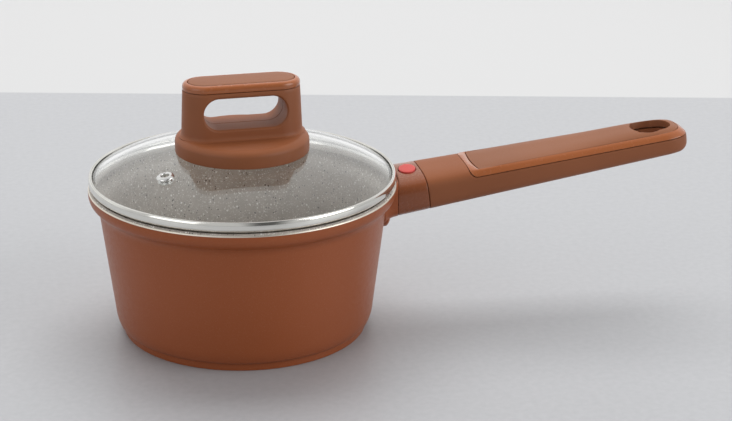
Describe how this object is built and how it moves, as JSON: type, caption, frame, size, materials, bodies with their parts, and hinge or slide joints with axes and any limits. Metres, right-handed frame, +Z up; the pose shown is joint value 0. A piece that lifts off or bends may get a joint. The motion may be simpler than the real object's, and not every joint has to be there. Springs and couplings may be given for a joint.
{
  "type": "lidded saucepan",
  "caption": "Tapered one-handled saucepan with a rolled rim, a domed glass lid with a loop knob, and a detachable handle with a release button and hanging hole.",
  "frame": {"origin": "centre of the flat steel disc under the pan, on the surface it stands on", "axes": "+Z up, +X along the handle, +Y to its left"},
  "size_m": [0.3335, 0.166, 0.1391],
  "materials": {
    "pan_lacquer": "satin copper-coloured lacquer on cast aluminium, with a speckled grey non-stick inside",
    "base_steel": "turned stainless steel",
    "fitting_steel": "plain steel",
    "band_steel": "polished stainless steel",
    "matt_brown": "soft-touch coating on moulded phenolic",
    "gloss_brown": "glossy moulded plastic",
    "button_red": "red moulded plastic",
    "lid_glass": "clear tempered glass",
    "insert_brass": "turned brass",
    "seal_rubber": "translucent silicone"
  },
  "bodies": {
    "pan": {"pot_body": "pan_lacquer", "base_disc": "base_steel", "handle_bracket": "fitting_steel", "bracket_screw_1": "fitting_steel", "bracket_screw_2": "fitting_steel"},
    "handle": {"collar": "gloss_brown", "collar_screw_1": "fitting_steel", "collar_screw_2": "fitting_steel", "grip": "matt_brown", "trim_frame": "gloss_brown", "top_inlay": "matt_brown", "catch_spring": "fitting_steel", "catch_screw": "fitting_steel"},
    "button": {"release_button": "button_red"},
    "lid": {"lid_glass": "lid_glass", "lid_band": "band_steel", "vent_eyelet": "band_steel", "knob_body": "matt_brown", "knob_cap": "gloss_brown", "knob_inlay": "matt_brown", "knob_insert": "insert_brass", "knob_screw": "fitting_steel", "knob_washer": "fitting_steel", "knob_gasket": "seal_rubber"}
  },
  "joints": [
    {"name": "lid_lift", "type": "slide", "parent": "pan", "child": "lid", "axis": [0, 0, 1], "range_m": [0, 0.12]},
    {"name": "handle_release", "type": "slide", "parent": "pan", "child": "handle", "axis": [0.9903, 0, 0.1392], "range_m": [0, 0.06]},
    {"name": "button_press", "type": "slide", "parent": "handle", "child": "button", "axis": [0.1392, 0, -0.9903], "range_m": [0, 0.0022], "stiffness_N_per_m": 1500, "springref_m": -0.001, "deforming": ["catch_spring"]}
  ]
}
